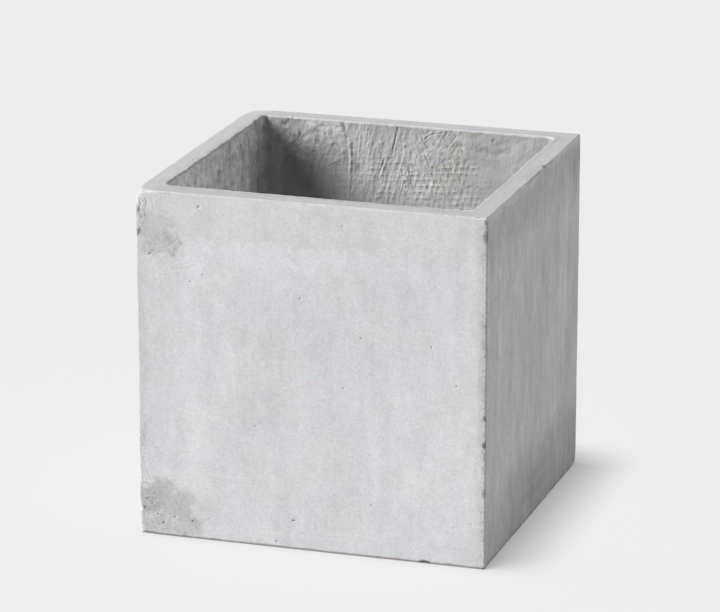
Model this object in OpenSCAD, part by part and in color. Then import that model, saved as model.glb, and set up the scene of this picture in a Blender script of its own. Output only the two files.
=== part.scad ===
// Cloth-reinforced cement planter box: two coats of mortar with glass cloth between them,
// a skim along the rim, and a loose rubber stopper in the drain hole.
// Millimetres, +Z up. The origin is on the ground, under the middle of the box.

/* [Overall] */
// Width of the box, from left to right
box_w = 300; // [220:1:600]
// Depth of the box, from front to back
box_d = 290; // [220:1:600]
// Height of the box, from the ground to the rim
box_h = 298; // [180:1:600]
// Radius of the outside edges and upright corners
arris_r = 1.5; // [0.5:0.1:3]

/* [Mortar] */
// Thickness of the coat laid against the mould, in the walls
outer_wall_t = 14; // [10:0.5:25]
// Thickness of the same coat in the base
outer_base_t = 18; // [12:0.5:30]
// Thickness of the brushed coat that covers the cloth and lines the inside
inner_coat_t = 4; // [3:0.1:8]
// Thickness of the skim struck off along the rim
rim_skim_t = 2; // [1:0.1:5]
// Radius of the upright corners of the planting space
cavity_r = 6; // [3:0.5:15]

/* [Glass cloth] */
// Thickness of one ply of cloth
cloth_t = 0.8; // [0.4:0.1:1.2]
// Mortar left around the edges of a panel, at the base, the rim and the corners
cloth_edge = 12; // [8:1:25]
// Width of each leg of a folded strip, over the fold
strip_leg = 45; // [35:1:60]
// Mortar left between the end of a foot strip and the corner strip beside it
strip_gap = 3; // [1:0.5:10]

/* [Drain] */
// Radius of the drain hole
drain_r = 11; // [6:0.5:18]
// Mortar left between the drain hole and the cloth around it
drain_cover = 6; // [3:0.5:12]
// Clearance between the stopper's stem and the hole, on the radius
stopper_fit = 0.08; // [0.02:0.01:0.10]
// How far the stopper's stem ends above the ground
stem_lift = 5; // [2:0.5:10]
// How far the stopper's flange laps over the edge of the hole
flange_lap = 7; // [3:0.5:15]
// Thickness of the flange
flange_t = 4; // [2:0.5:8]
// Radius of the neck between flange and knob
neck_r = 6; // [3:0.5:8]
// Height of the neck
neck_h = 6; // [4:0.5:15]
// How far the knob laps over the neck
knob_lap = 4; // [2:0.5:8]
// Thickness of the knob
knob_t = 5; // [3:0.5:10]

/* [Hidden] */
$fn = 96;

// Whole wall and whole base, through both coats
wall_t = outer_wall_t + inner_coat_t;
base_t = outer_base_t + inner_coat_t;

// The space inside the outer coat, which the inner coat lines
lining_w = box_w - 2 * outer_wall_t;
lining_d = box_d - 2 * outer_wall_t;
lining_r = cavity_r + inner_coat_t;

// Top of both coats, under the rim skim
coats_top = box_h - rim_skim_t;

// Height range of the cloth in the walls
cloth_low = outer_base_t + cloth_edge;
cloth_high = coats_top - cloth_edge;

// A wall panel stops short of the rounded corner
panel_inset = lining_r + cloth_edge;

// Cuts run this far past the faces that they open
past = 5;

concrete_out = [0.83, 0.84, 0.85];
concrete_in = [0.70, 0.71, 0.71];
concrete_rim = [0.80, 0.80, 0.79];
cloth_white = [0.92, 0.93, 0.88];
rubber_grey = [0.16, 0.16, 0.17];

// A rectangle on the middle of the plane, with rounded corners
module rounded_rect(w, d, r) {
    square([w - 2 * r, d], center = true);
    square([w, d - 2 * r], center = true);
    for (x = [-1, 1], y = [-1, 1])
        translate([x * (w / 2 - r), y * (d / 2 - r)])
            circle(r);
}

// The whole outside of the box, solid, with every edge rounded
module outside_form() {
    intersection() {
        linear_extrude(box_h)
            rounded_rect(box_w, box_d, arris_r);
        translate([0, box_d / 2, box_h / 2])
            rotate([90, 0, 0])
                linear_extrude(box_d)
                    rounded_rect(box_w, box_h, arris_r);
        translate([-box_w / 2, 0, box_h / 2])
            rotate([90, 0, 90])
                linear_extrude(box_w)
                    rounded_rect(box_d, box_h, arris_r);
    }
}

// Everything from the ground up to the underside of the rim skim
module below_skim() {
    translate([-box_w, -box_d, -past])
        cube([2 * box_w, 2 * box_d, coats_top + past]);
}

// The space inside the outer coat
module lining_space() {
    translate([0, 0, outer_base_t])
        linear_extrude(box_h)
            rounded_rect(lining_w, lining_d, lining_r);
}

// The open space that holds the soil
module planting_space() {
    translate([0, 0, base_t])
        linear_extrude(box_h)
            rounded_rect(box_w - 2 * wall_t, box_d - 2 * wall_t, cavity_r);
}

module drain_hole(r) {
    translate([0, 0, -past])
        cylinder(r = r, h = base_t + 2 * past);
}

// One panel of cloth against the wall at y = -span / 2, on a lining that is run wide
module wall_panel(run, span) {
    panel_w = run - 2 * panel_inset;
    translate([-panel_w / 2, -span / 2, cloth_low])
        cube([panel_w, cloth_t, cloth_high - cloth_low]);
}

// Outline of a strip folded into an upright corner, over the panels' ply.
// The corner of the lining is at the origin and the legs run along +X and +Y.
module corner_fold() {
    leg_run = strip_leg - lining_r;
    fold_r = lining_r - cloth_t;
    translate([lining_r, cloth_t])
        square([leg_run, cloth_t]);
    translate([cloth_t, lining_r])
        square([cloth_t, leg_run]);
    translate([lining_r, lining_r])
        intersection() {
            difference() {
                circle(fold_r);
                circle(fold_r - cloth_t);
            }
            translate([-lining_r, -lining_r])
                square(lining_r);
        }
}

// A strip folded between the base and the wall at y = -span / 2, over the panels' ply
module foot_strip(run, span) {
    strip_w = run - 2 * (strip_leg + strip_gap);
    leg = strip_leg - cloth_t;
    translate([-strip_w / 2, cloth_t - span / 2, outer_base_t + cloth_t]) {
        cube([strip_w, leg, cloth_t]);
        cube([strip_w, cloth_t, leg]);
    }
}

module outer_coat() {
    color(concrete_out)
        difference() {
            intersection() {
                outside_form();
                below_skim();
            }
            lining_space();
            drain_hole(drain_r);
        }
}

module inner_coat() {
    color(concrete_in)
        difference() {
            intersection() {
                lining_space();
                below_skim();
            }
            planting_space();
            front_cloth();
            back_cloth();
            left_cloth();
            right_cloth();
            base_cloth();
            corner_strips();
            foot_strips();
            drain_hole(drain_r);
        }
}

module rim_skim() {
    color(concrete_rim)
        difference() {
            outside_form();
            below_skim();
            planting_space();
        }
}

module front_cloth() {
    color(cloth_white)
        wall_panel(lining_w, lining_d);
}

module back_cloth() {
    color(cloth_white)
        rotate([0, 0, 180])
            wall_panel(lining_w, lining_d);
}

module left_cloth() {
    color(cloth_white)
        rotate([0, 0, -90])
            wall_panel(lining_d, lining_w);
}

module right_cloth() {
    color(cloth_white)
        rotate([0, 0, 90])
            wall_panel(lining_d, lining_w);
}

module base_cloth() {
    panel_w = lining_w - 2 * cloth_edge;
    panel_d = lining_d - 2 * cloth_edge;
    color(cloth_white)
        difference() {
            translate([-panel_w / 2, -panel_d / 2, outer_base_t])
                cube([panel_w, panel_d, cloth_t]);
            drain_hole(drain_r + drain_cover);
        }
}

module corner_strips() {
    color(cloth_white)
        for (x = [0, 1], y = [0, 1])
            mirror([x, 0, 0])
                mirror([0, y, 0])
                    translate([-lining_w / 2, -lining_d / 2, cloth_low])
                        linear_extrude(cloth_high - cloth_low)
                            corner_fold();
}

module foot_strips() {
    color(cloth_white)
        for (turn = [0, 180]) {
            rotate([0, 0, turn])
                foot_strip(lining_w, lining_d);
            rotate([0, 0, turn + 90])
                foot_strip(lining_d, lining_w);
        }
}

module drain_plug() {
    stem_r = drain_r - stopper_fit;
    flange_top = base_t + flange_t;
    neck_top = flange_top + neck_h;
    color(rubber_grey)
        rotate_extrude()
            polygon([
                [0, stem_lift],
                [stem_r, stem_lift],
                [stem_r, base_t],
                [drain_r + flange_lap, base_t],
                [drain_r + flange_lap, flange_top],
                [neck_r, flange_top],
                [neck_r, neck_top],
                [neck_r + knob_lap, neck_top],
                [neck_r + knob_lap, neck_top + knob_t],
                [0, neck_top + knob_t]
            ]);
}

outer_coat();
inner_coat();
rim_skim();
front_cloth();
back_cloth();
left_cloth();
right_cloth();
base_cloth();
corner_strips();
foot_strips();
drain_plug();
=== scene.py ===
# A cube planter of hand-laid cement with glass cloth inside it.
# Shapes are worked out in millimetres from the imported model, and scaled to metres at the end.
import math
import random

import bmesh
import bpy
import numpy as np
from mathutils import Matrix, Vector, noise


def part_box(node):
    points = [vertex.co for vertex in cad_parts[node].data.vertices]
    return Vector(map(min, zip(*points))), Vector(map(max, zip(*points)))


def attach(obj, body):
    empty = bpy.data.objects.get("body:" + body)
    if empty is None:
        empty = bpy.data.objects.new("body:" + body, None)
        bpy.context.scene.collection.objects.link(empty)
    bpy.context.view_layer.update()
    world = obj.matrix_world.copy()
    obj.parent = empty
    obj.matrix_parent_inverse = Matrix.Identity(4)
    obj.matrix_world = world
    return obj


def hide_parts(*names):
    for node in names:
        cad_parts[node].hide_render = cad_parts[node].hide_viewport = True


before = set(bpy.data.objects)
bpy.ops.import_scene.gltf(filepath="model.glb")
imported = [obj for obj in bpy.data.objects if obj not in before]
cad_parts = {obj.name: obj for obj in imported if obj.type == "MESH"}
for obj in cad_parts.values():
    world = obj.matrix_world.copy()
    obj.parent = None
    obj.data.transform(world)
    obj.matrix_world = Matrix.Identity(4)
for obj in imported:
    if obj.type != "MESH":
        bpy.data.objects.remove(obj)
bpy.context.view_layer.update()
mm = 0.001


# sizes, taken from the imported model

def nodeBox(name):
    low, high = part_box(name)
    return np.array(low) / mm, np.array(high) / mm


def besideDrain(reach=20):
    # the corners of the inner coat's mesh around the drain hole
    points = np.array([vert.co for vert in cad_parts["inner_coat"].data.vertices]) / mm
    return points[np.linalg.norm(points[:, :2], axis=1) < reach]


outerHigh = nodeBox("outer_coat")[1]
rimHigh = nodeBox("rim_skim")[1]
liningLow, liningHigh = nodeBox("inner_coat")
holePoints = besideDrain()

sizes = {
    "half": outerHigh[:2],  # half width and half depth of the outside
    "rimTop": rimHigh[2],
    "coatsTop": outerHigh[2],
    "liningHalf": liningHigh[:2],
    "liningFloor": liningLow[2],
    "floor": holePoints[:, 2].max(),
    "drain": np.linalg.norm(holePoints[:, :2], axis=1).min(),
}
sizes["cavityHalf"] = sizes["liningHalf"] - (sizes["floor"] - sizes["liningFloor"])
print("sizes read:", {key: np.round(value, 2).tolist() for key, value in sizes.items()})

halfWidth, halfDepth = sizes["half"]
rimTop = sizes["rimTop"]


# small tools

seedShift = np.array([17.3, 5.1, 9.7])  # keeps the noises of different seeds apart


def clouds(points, size, seed, octaves=1):
    # soft noise from about -1 to 1, with lumps about `size` across; size may be one number or three
    spots = (points / np.array(size, float) + seedShift * seed).tolist()
    if octaves == 1:
        return np.array([noise.noise(spot) for spot in spots])
    return np.array([noise.fractal(spot, 0.9, 2.1, octaves) for spot in spots])


def fade(value, start, end):
    # 0 before start, 1 after end, and smooth between
    t = np.clip((value - start) / (end - start), 0, 1)
    return t * t * (3 - 2 * t)


def bell(distance, width):
    return np.exp(-(distance / width) ** 2)


def fromRoute(points, route):
    # how far each point lies from the line through the places in route
    route = np.array(route, float)
    nearest = np.linalg.norm(points - route[0], axis=1)
    for start, end in zip(route, route[1:]):
        way = end - start
        share = np.clip((points - start) @ way / (way @ way), 0, 1)
        gap = np.linalg.norm(points - start - share[:, None] * way, axis=1)
        nearest = np.minimum(nearest, gap)
    return nearest


def roundedPlace(points, low, high, radius):
    # moves points on a box to the same box with rounded edges, and says which way is out
    core = np.clip(points, low + radius, high - radius)
    out = points - core
    reach = np.linalg.norm(out, axis=1)[:, None]
    way = out / np.maximum(reach, 1e-9)
    return core + way * np.minimum(reach, radius), way


# lofted rings: every coat is a stack of square rings with the same number of points

cornerMarks = (0.35, 0.8, 1.3, 2.0, 3.0, 4.5, 6.5, 9.0)


def sideMarks(length, step):
    # places along one side from corner to corner, close together near the corners
    half = length / 2
    near = np.array(cornerMarks)
    count = max(2, round((length - 2 * near[-1]) / step))
    middle = np.linspace(-half + near[-1], half - near[-1], count + 1)[1:-1]
    return np.concatenate([[-half], -half + near, middle, (half - near)[::-1]])


def unitRing(half, step):
    # a square ring from -1 to 1 both ways, starting at the front left corner
    across = sideMarks(2 * half[0], step) / half[0]
    along = sideMarks(2 * half[1], step) / half[1]
    one = np.ones_like
    sides = [
        np.column_stack([across, -one(across)]),
        np.column_stack([one(along), along]),
        np.column_stack([-across, one(across)]),
        np.column_stack([-one(along), -along]),
    ]
    return np.concatenate(sides)


def squareRing(unit, half, z):
    flat = unit * half
    return np.column_stack([flat, np.full(len(flat), z)])


def roundRing(unit, radius, z):
    flat = unit / np.linalg.norm(unit, axis=1)[:, None] * radius
    return np.column_stack([flat, np.full(len(flat), z)])


def between(first, last, shares):
    return [first + (last - first) * share for share in shares]


def stepsTo(start, end, step):
    # even steps from start to end, with start left out
    count = max(1, round(abs(end - start) / step))
    return np.linspace(start, end, count + 1)[1:]


def joinRows(bm, rows, following):
    # quads between each row of corners and the one that follows it
    for row, after in zip(rows, following):
        for i in range(len(row)):
            j = (i + 1) % len(row)
            bm.faces.new((row[i], row[j], after[j], after[i]))


def loftMesh(rings):
    # a closed tube: each ring joins the next, and the last joins the first
    bm = bmesh.new()
    rows = [[bm.verts.new(point) for point in ring] for ring in rings]
    joinRows(bm, rows, rows[1:] + rows[:1])
    bmesh.ops.recalc_face_normals(bm, faces=bm.faces)
    return bm


def places(bm):
    return np.array([vert.co for vert in bm.verts])


def setPlaces(bm, points):
    for vert, point in zip(bm.verts, points.tolist()):
        vert.co = point
    bm.normal_update()


def sizeNear(gap, size, growth, reach):
    # the mesh size wanted at this distance from a mark: it grows once past the mark's reach
    return size + growth * np.clip(gap - reach, 0, None)


def refine(bm, wantedSize, rounds=5, slack=1.4):
    # cuts every edge that is longer than the size wanted at its middle
    for _ in range(rounds):
        edges = list(bm.edges)
        ends = np.array([(edge.verts[0].co[:], edge.verts[1].co[:]) for edge in edges])
        lengths = np.linalg.norm(ends[:, 0] - ends[:, 1], axis=1)
        tooLong = lengths > wantedSize(ends.mean(axis=1)) * slack
        if not tooLong.any():
            break
        chosen = [edge for edge, cut in zip(edges, tooLong) if cut]
        bmesh.ops.subdivide_edges(bm, edges=chosen, cuts=1, use_grid_fill=True)
    bm.normal_update()


def markSharp(bm, angle=55):
    for edge in bm.edges:
        edge.smooth = edge.calc_face_angle(0) < math.radians(angle)


def meshFrom(bm, name):
    mesh = bpy.data.meshes.new(name)
    bm.to_mesh(mesh)
    bm.free()
    return mesh


def finishPiece(mesh, name, body, material, nodes):
    mesh.shade_smooth()
    mesh.materials.append(material)
    piece = bpy.data.objects.new(name, mesh)
    bpy.context.scene.collection.objects.link(piece)
    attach(piece, body)
    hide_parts(*nodes)
    print(name, "has", len(mesh.polygons), "faces")
    return piece


def finishCoat(bm, name, material, nodes, relief):
    # relief, in millimetres out of the surface, is kept on the mesh for the material to read
    manySided = [face for face in bm.faces if len(face.verts) > 4]
    bmesh.ops.triangulate(bm, faces=manySided, ngon_method="BEAUTY")
    markSharp(bm)
    bmesh.ops.scale(bm, vec=(mm, mm, mm), verts=bm.verts)
    mesh = meshFrom(bm, name)
    layer = mesh.attributes.new("relief", "FLOAT", "POINT")
    layer.data.foreach_set("value", relief.astype(np.float32))
    return finishPiece(mesh, name, "planter", material, nodes)


# camera, floor and light

cameraView = {
    "aim": (-0.0028, -0.0009, 0.1707),
    "azimuth": 17.72,  # to the right of the front, in degrees
    "elevation": 16.48,
    "distance": 3.559,
    "lens": 209.8,
    "sensor": 36.0,
}


def placeCamera():
    lens = bpy.data.cameras.new("camera")
    lens.lens = cameraView["lens"]
    lens.sensor_width = cameraView["sensor"]
    lens.clip_end = 100
    camera = bpy.data.objects.new("camera", lens)
    bpy.context.scene.collection.objects.link(camera)
    turn = math.radians(cameraView["azimuth"])
    rise = math.radians(cameraView["elevation"])
    back = np.array([math.sin(turn) * math.cos(rise), -math.cos(turn) * math.cos(rise), math.sin(rise)])
    camera.location = np.array(cameraView["aim"]) + back * cameraView["distance"]
    camera.rotation_euler = (math.pi / 2 - rise, 0, turn)
    bpy.context.scene.camera = camera


lighting = {
    "sky": 0.17,
    "tint": (1, 1, 1.01, 1),
    "lampDistance": 3,
    "key": {"travel": (0.72, 0.43, -0.55), "strength": 4.05, "angle": 33},
    "wash": {"travel": (0.078, 0.07, -1.0), "strength": 10.7, "angle": 14},
    "fill": {"travel": (-0.80, -0.10, -0.60), "strength": 0.24, "angle": 50},
    "back": {"travel": (-0.10, -0.92, -0.25), "strength": 0.8, "angle": 40},
    "inside": {"travel": (-0.90, -0.16, -0.40), "strength": 0.95, "angle": 20},
    "floorReach": 40,
    "floorGlow": 0.312,
    "floorPaint": 0.15,
    "backdrop": 0.855,
}


def sunLight(name, piece, state):
    # the lamp lights everything but this piece, or nothing else
    setting = lighting[name]
    lamp = bpy.data.lights.new(name, "SUN")
    lamp.energy = setting["strength"]
    lamp.angle = math.radians(setting["angle"])
    light = bpy.data.objects.new(name, lamp)
    bpy.context.scene.collection.objects.link(light)
    travel = np.array(setting["travel"]) / np.linalg.norm(setting["travel"])
    turn = math.atan2(-travel[0], travel[1])
    light.rotation_euler = (math.acos(-travel[2]), 0, turn)
    light.location = -travel * lighting["lampDistance"]
    receivers = bpy.data.collections.new(name + "Receivers")
    receivers.objects.link(piece)
    light.light_linking.receiver_collection = receivers
    receivers.collection_objects[0].light_linking.link_state = state


def addNode(tree, kind, inputs=None, **settings):
    node = tree.nodes.new("ShaderNode" + kind)
    for name, value in settings.items():
        setattr(node, name, value)
    for key, value in (inputs or {}).items():
        if isinstance(value, bpy.types.NodeSocket):
            tree.links.new(value, node.inputs[key])
        else:
            node.inputs[key].default_value = value
    return node


def layFloor():
    mesh = bpy.data.meshes.new("floor")
    reach = lighting["floorReach"]
    corners = [(-reach, -reach, 0), (reach, -reach, 0), (reach, reach, 0), (-reach, reach, 0)]
    mesh.from_pydata(corners, [], [(0, 1, 2, 3)])
    floor = bpy.data.objects.new("floor", mesh)
    bpy.context.scene.collection.objects.link(floor)
    paint = bpy.data.materials.new("floorPaint")
    paint.use_nodes = True
    shader = paint.node_tree.nodes["Principled BSDF"]
    tone = lighting["floorPaint"]
    shader.inputs["Base Color"].default_value = (tone, tone, tone * 1.01, 1)
    shader.inputs["Roughness"].default_value = 0.9
    shader.inputs["Specular IOR Level"].default_value = 0.0
    shader.inputs["Emission Color"].default_value = (1, 1, 1.012, 1)
    shader.inputs["Emission Strength"].default_value = lighting["floorGlow"]
    mesh.materials.append(paint)
    return floor


def lightStudio():
    scene = bpy.context.scene
    scene.view_settings.view_transform = "Standard"
    floor = layFloor()
    for name in ("key", "fill", "back"):
        sunLight(name, floor, "EXCLUDE")
    sunLight("wash", floor, "INCLUDE")
    world = bpy.data.worlds.new("studio")
    world.use_nodes = True
    scene.world = world
    tree = world.node_tree
    glow = tree.nodes["Background"]
    glow.inputs["Color"].default_value = lighting["tint"]
    glow.inputs["Strength"].default_value = lighting["sky"]
    # the backdrop that is seen past the floor's edge is as pale as the floor
    seen = addNode(tree, "Background", {"Color": lighting["tint"], "Strength": lighting["backdrop"]})
    direct = addNode(tree, "LightPath").outputs["Is Camera Ray"]
    either = addNode(tree, "MixShader", {0: direct, 1: glow.outputs[0], 2: seen.outputs[0]})
    tree.links.new(either.outputs[0], tree.nodes["World Output"].inputs["Surface"])


placeCamera()
lightStudio()
print("camera and light are set")


# the finishes; every size in them is in millimetres

def newMaterial(name):
    material = bpy.data.materials.new(name)
    material.use_nodes = True
    tree = material.node_tree
    shader = tree.nodes["Principled BSDF"]
    shader.inputs["Specular IOR Level"].default_value = 0.25
    where = addNode(tree, "TexCoord").outputs["Object"]
    spots = addNode(tree, "VectorMath", {0: where, "Scale": 1 / mm}, operation="SCALE").outputs[0]
    return material, tree, shader, spots


def grain(tree, spots, size, detail=2, seed=0, twist=0.0, rough=0.55):
    # noise from 0 to 1 with lumps of this size
    size = size if isinstance(size, tuple) else (size, size, size)
    moved = addNode(tree, "VectorMath", {0: spots, 1: size}, operation="DIVIDE").outputs[0]
    shift = (seed * 7.31, seed * 3.17, seed * 5.73)
    moved = addNode(tree, "VectorMath", {0: moved, 1: shift}, operation="ADD").outputs[0]
    inputs = {"Vector": moved, "Scale": 1.0, "Detail": detail, "Roughness": rough, "Distortion": twist}
    return addNode(tree, "TexNoise", inputs).outputs[0]


def sums(tree, operation, first, second=0.0, third=0.0):
    return addNode(tree, "Math", {0: first, 1: second, 2: third}, operation=operation).outputs[0]


def levels(tree, value, start, end, low=0.0, high=1.0):
    inputs = {"Value": value, "From Min": start, "From Max": end, "To Min": low, "To Max": high}
    return addNode(tree, "MapRange", inputs, interpolation_type="SMOOTHSTEP").outputs[0]


def shaded(tree, shade, mask, amount):
    # shade is lowered, or raised where amount is above 0, by that share where the mask is 1
    return sums(tree, "MULTIPLY", shade, sums(tree, "MULTIPLY_ADD", mask, amount, 1.0))


def mottle(tree, shade, value, amount):
    # shade moves up and down by that share with a noise around a half
    swing = sums(tree, "SUBTRACT", value, 0.5)
    return shaded(tree, shade, swing, 2 * amount)


def mottled(tree, spots, shade, recipe):
    for size, detail, seed, twist, rough, amount in recipe:
        shade = mottle(tree, shade, grain(tree, spots, size, detail, seed, twist, rough), amount)
    return shade


def nearPlace(tree, spots, place, size, edge, ragged=None):
    # 1 inside an egg of this size around a place, 0 outside it, with an edge that a noise makes ragged
    offset = addNode(tree, "VectorMath", {0: spots, 1: place}, operation="SUBTRACT").outputs[0]
    offset = addNode(tree, "VectorMath", {0: offset, 1: size}, operation="DIVIDE").outputs[0]
    away = addNode(tree, "VectorMath", {0: offset}, operation="LENGTH").outputs["Value"]
    if ragged is not None:
        away = sums(tree, "ADD", away, ragged)
    return levels(tree, away, 1.0 + edge / 2, 1.0 - edge / 2)


def axesOf(tree, spots):
    return addNode(tree, "SeparateXYZ", {0: spots}).outputs


def paintCement(tree, shader, shade, warmth, cool, warm):
    # the two tints are mixed by warmth, and shade makes them lighter or darker
    tint = addNode(tree, "Mix", {0: warmth, 6: (*cool, 1), 7: (*warm, 1)}, data_type="RGBA").outputs[2]
    colour = addNode(tree, "VectorMath", {0: tint, "Scale": shade}, operation="SCALE").outputs[0]
    tree.links.new(colour, shader.inputs["Base Color"])


def dull(tree, shader, value, shine):
    # roughness between the two values of shine, by a noise around a half
    tree.links.new(levels(tree, value, 0.3, 0.7, *shine), shader.inputs["Roughness"])


def roughen(tree, shader, height, depth):
    bump = addNode(tree, "Bump", {"Strength": 1.0, "Distance": depth * mm, "Height": height})
    tree.links.new(bump.outputs[0], shader.inputs["Normal"])


# the finish of the faces that lay against the mould

mouldFinish = {
    "cool": (0.599, 0.604, 0.615),
    "warm": (0.607, 0.603, 0.592),
    "band": (261, 291),  # heights of the duller band under the rim
    "rightFace": (138, 149),  # the right face takes over between these
    "shine": (0.74, 0.92),
    "bump": 0.22,
    "mottling": [  # lump size, detail, seed, twist, roughness, strength: from broad clouds to fine mottling
        (80, 3, 1, 0.0, 0.55, 0.09),
        ((26, 26, 150), 3, 2, 0.5, 0.55, 0.10),
        ((12, 12, 17), 6, 4, 0.4, 0.68, 0.15),
        ((6, 6, 2.5), 3, 6, 0.4, 0.55, 0.06),
        (2.6, 2, 5, 0.0, 0.55, 0.08),
        (1.1, 1, 7, 0.0, 0.55, 0.17),
    ],
    # the same, on the right face only
    "flow": [((9, 9, 26), 4, 9, 0.6, 0.65, 0.24), ((3, 3, 8), 3, 13, 0.3, 0.6, 0.12)],
    "shades": {  # how much lighter each one is; below 0 it is darker
        "streaks": 0.09, "right": -0.10, "band": -0.032, "bandRight": -0.12, "darkerLow": -0.24, "crumbs": -0.24,
        "limeAndHighlight": 0.14, "cracks": -0.16, "pits": -0.28, "specks": -0.35, "arrisSpecks": -0.34, "foot": -0.48,
    },
    "stainsAndShade": [  # place, size, softness, how much darker
        ((-134, -145, 268), (15, 14, 14), 0.4, 0.14),
        ((-127, -145, 254), (15, 10, 12), 0.2, 0.15),
        ((-119, -145, 252), (7, 8, 9), 0.5, 0.18),
        ((-131, -145, 36), (13, 12, 15), 0.5, 0.25),
        ((-138, -145, 31), (12, 12, 12), 0.5, 0.29),
        ((-116, -145, 26), (15, 12, 15), 0.6, 0.23),
        ((-109, -145, 10), (13, 12, 13), 0.6, 0.18),
        ((-133, -145, 10), (18, 12, 14), 0.5, 0.14),
        ((-92, -145, 27), (9, 8, 2.5), 0.9, 0.08),
        ((-147, -145, 180), (6, 10, 90), 0.9, 0.05),
        ((-42, -145, 165), (16, 8, 75), 1.1, 0.035),
        ((36, -145, 140), (15, 8, 90), 1.1, 0.03),
        ((70, -145, 180), (60, 8, 45), 1.2, 0.025),
        ((140, -145, 285), (14, 8, 14), 1.0, 0.06),
        ((147, -145, 210), (5, 8, 80), 0.9, 0.05),
        ((150, -115, 25), (12, 32, 35), 0.9, 0.08),
        ((150, 8, 21), (12, 55, 5), 0.9, 0.12),
        ((150, 20, 34), (12, 45, 5), 0.9, 0.08),
        ((150, 130, 270), (12, 18, 26), 1.0, 0.08),
        # painted shade in the chips at 107, 130, 66 and 281 on the front right arris
        ((149, -145, 107), (2.2, 3, 3.5), 0.6, 0.55),
        ((149, -145, 130), (1.8, 3, 2.5), 0.6, 0.40),
        ((149, -145, 66), (1.8, 3, 4), 0.6, 0.35),
        ((149, -145, 281), (2.4, 4, 6), 0.8, 0.35),
        ((149.5, -145, 205), (1.6, 3, 6), 0.8, 0.25),
        # painted shade in the chip at the foot of the front and in the chips on the front left arris
        ((100, -145, 1.5), (5.5, 4, 1.8), 0.6, 0.60),
        ((-150, -145, 262), (5, 6, 3.5), 0.8, 0.40),
        ((-150, -145, 280), (3, 4, 7), 0.9, 0.35),
        ((60, 145, 90), (40, 12, 26), 0.5, 0.08),
        ((-150, 30, 40), (12, 45, 16), 0.4, 0.10),
    ],
    "rough": [  # patches where the skin is open: place, size
        ((-134, -145, 18), (17, 12, 20)),
        ((-112, -145, 12), (16, 12, 16)),
        ((-126, -145, 252), (18, 12, 12)),
        ((-149, -145, 60), (6, 10, 60)),
        ((-150, -145, 276), (10, 12, 26)),
        ((-148, -145, 30), (9, 10, 26)),
    ],
    "bloomsAndLight": [  # the same, lighter
        ((-84, -145, 8), (13, 8, 6), 0.8, 0.06),
        ((-122, -145, 54), (14, 8, 9), 0.9, 0.04),
        ((-20, -145, 248), (85, 8, 12), 0.9, 0.045),
        ((-75, -145, 58), (30, 8, 1.3), 0.8, 0.035),
        ((10, -145, 17), (62, 8, 1.6), 0.8, 0.035),
        ((-20, -145, 12), (48, 8, 1.2), 0.8, 0.035),
        ((62, -145, 70), (26, 8, 1.4), 0.8, 0.03),
        ((-100, -145, 90), (9, 8, 34), 0.9, 0.035),
        ((-15, -145, 232), (30, 8, 26), 1.1, 0.03),
        ((-95, -145, 130), (30, 8, 90), 1.2, 0.035),
        ((115, -145, 85), (14, 8, 60), 1.0, 0.03),
        ((112, -145, 120), (38, 8, 150), 1.2, 0.035),
        ((95, -145, 80), (14, 8, 12), 0.9, 0.03),
        ((150, -103, 160), (12, 7, 45), 0.9, 0.07),
        ((150, 100, 190), (12, 8, 70), 0.9, 0.07),
        ((150, -60, 120), (12, 10, 80), 1.0, 0.05),
        ((-147, -145, 288), (3.5, 5, 7), 0.6, 0.10),
        ((-148, -145, 271), (3, 5, 6), 0.6, 0.10),
    ],
}


def bandUnderRim(tree, spots, ragged, right, z):
    # where the duller band lies: its lower edge is ragged, and softer on the right face
    low, high = mouldFinish["band"]
    sway = levels(tree, right, 0, 1, 10.0, 40.0)
    drift = sums(tree, "SUBTRACT", grain(tree, spots, 60, 1, 8), 0.5)
    wander = sums(tree, "MULTIPLY_ADD", drift, sway, sums(tree, "MULTIPLY_ADD", ragged, 16.0, z))
    soft = levels(tree, right, 0, 1, 2.0, 20.0)
    band = levels(tree, wander, sums(tree, "SUBTRACT", low, soft), sums(tree, "ADD", low, soft))
    return sums(tree, "MULTIPLY", band, levels(tree, wander, high + 4, high - 4))


def openSkin(tree, spots, shade, jagged):
    # crumbs, white lime and cracks where the skin of the cement is open
    shades = mouldFinish["shades"]
    rough = 0.0
    for place, size in mouldFinish["rough"]:
        rough = sums(tree, "MAXIMUM", nearPlace(tree, spots, place, size, 0.7, jagged), rough)
    crumbs = grain(tree, spots, (2.2, 2.2, 1.6), 3, 24, 0.6, 0.7)
    veins = sums(tree, "SUBTRACT", grain(tree, spots, (9, 9, 14), 3, 27, 0.8, 0.6), 0.5)
    veins = sums(tree, "ABSOLUTE", veins)
    for name, mask in (
        ("crumbs", levels(tree, crumbs, 0.55, 0.68)),
        ("limeAndHighlight", levels(tree, crumbs, 0.42, 0.30)),
        ("cracks", levels(tree, veins, 0.030, 0.008)),
    ):
        shade = shaded(tree, shade, sums(tree, "MULTIPLY", rough, mask), shades[name])
    return shade


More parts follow.
